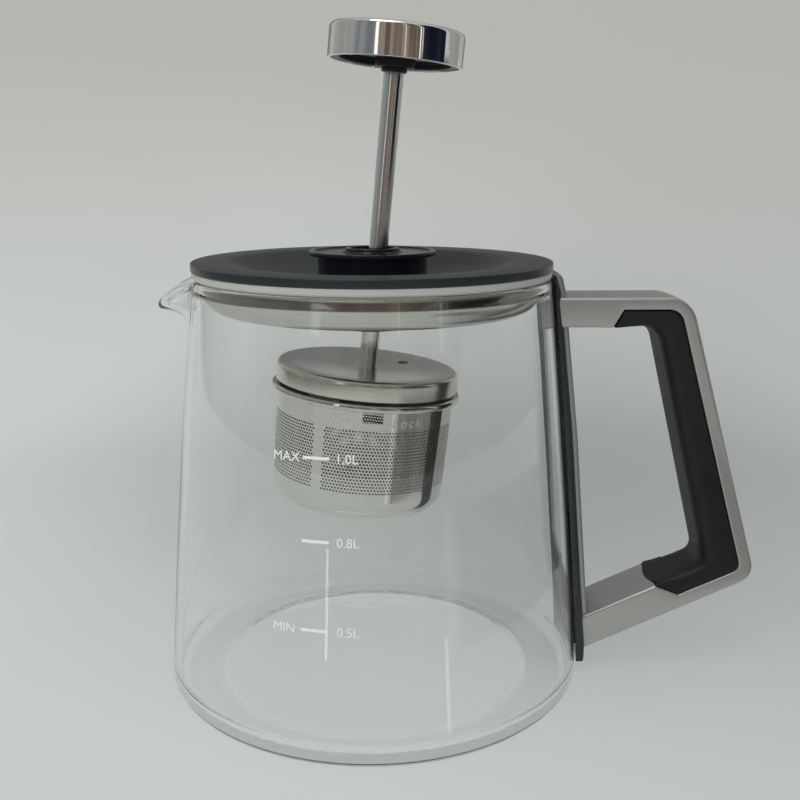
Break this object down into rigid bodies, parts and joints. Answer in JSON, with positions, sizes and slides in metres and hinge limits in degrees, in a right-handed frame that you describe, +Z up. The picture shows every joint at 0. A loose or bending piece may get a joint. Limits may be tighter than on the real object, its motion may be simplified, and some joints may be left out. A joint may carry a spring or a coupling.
{
  "type": "tea maker jug",
  "caption": "Tapered glass tea jug with a side handle, a lid that lifts off and a lidded steel basket on a leaning rod that slides and swivels in the lid.",
  "frame": {"origin": "middle of the jug's flat base, on the jug's axis", "axes": "+Z up along the jug's axis, +X towards the handle, -X towards the spout, +Y away from the front"},
  "size_m": [0.1917, 0.1346, 0.2059],
  "materials": {
    "glass": "clear polished",
    "bond": "matt",
    "strip": "fine satin",
    "spine": "satin",
    "frame": "satin",
    "grip": "fine satin",
    "core": "moulded",
    "lid_cover": "polished",
    "seal": "pale silicone",
    "hub": "polished",
    "moulded": "moulded",
    "bearing": "moulded",
    "o_ring": "matt",
    "chrome": "mirror polished",
    "knob_core": "satin",
    "steel": "brushed",
    "fastener": "turned"
  },
  "bodies": {
    "jug": {"glass_jug": "glass", "bracket_pad": "bond", "handle_bracket": "strip", "handle_spine": "spine", "handle_frame": "frame", "handle_grip": "grip", "grip_core": "core", "handle_screws": "fastener"},
    "lid": {"lid_cover": "lid_cover", "lid_seal": "seal", "lid_pan": "steel", "lid_hub": "hub", "hub_ring": "hub", "hub_gasket": "o_ring", "hub_nut": "moulded", "bush_retainer": "moulded"},
    "bush": {"rod_bush": "bearing"},
    "grip_ring": {"bush_ring": "o_ring"},
    "infuser": {"lift_rod": "chrome", "knob_shell": "chrome", "knob_core": "knob_core", "knob_collar": "knob_core", "knob_screw": "fastener", "basket_lid": "steel", "lug_ring": "steel", "rod_washer": "fastener", "foot_nut": "fastener"},
    "basket": {"basket_cup": "steel"}
  },
  "joints": [
    {"name": "lid_lift", "type": "slide", "parent": "jug", "child": "lid", "axis": [0, 0, 1], "range_m": [0, 0.15]},
    {"name": "rod_lean", "type": "hinge", "parent": "lid", "child": "bush", "pos_m": [0, 0, 0.12], "axis": [0, 1, 0], "range_deg": [-10.8, 0]},
    {"name": "rod_spin", "type": "hinge", "parent": "bush", "child": "grip_ring", "pos_m": [0, 0, 0.12], "axis": [0.0941, 0, 0.9956], "continuous": true},
    {"name": "rod_lift", "type": "slide", "parent": "grip_ring", "child": "infuser", "axis": [0.0941, 0, 0.9956], "range_m": [-0.049, 0.01]},
    {"name": "basket_twist", "type": "hinge", "parent": "infuser", "child": "basket", "pos_m": [0, 0, 0.12], "axis": [0.0941, 0, 0.9956], "range_deg": [0, 30]}
  ]
}
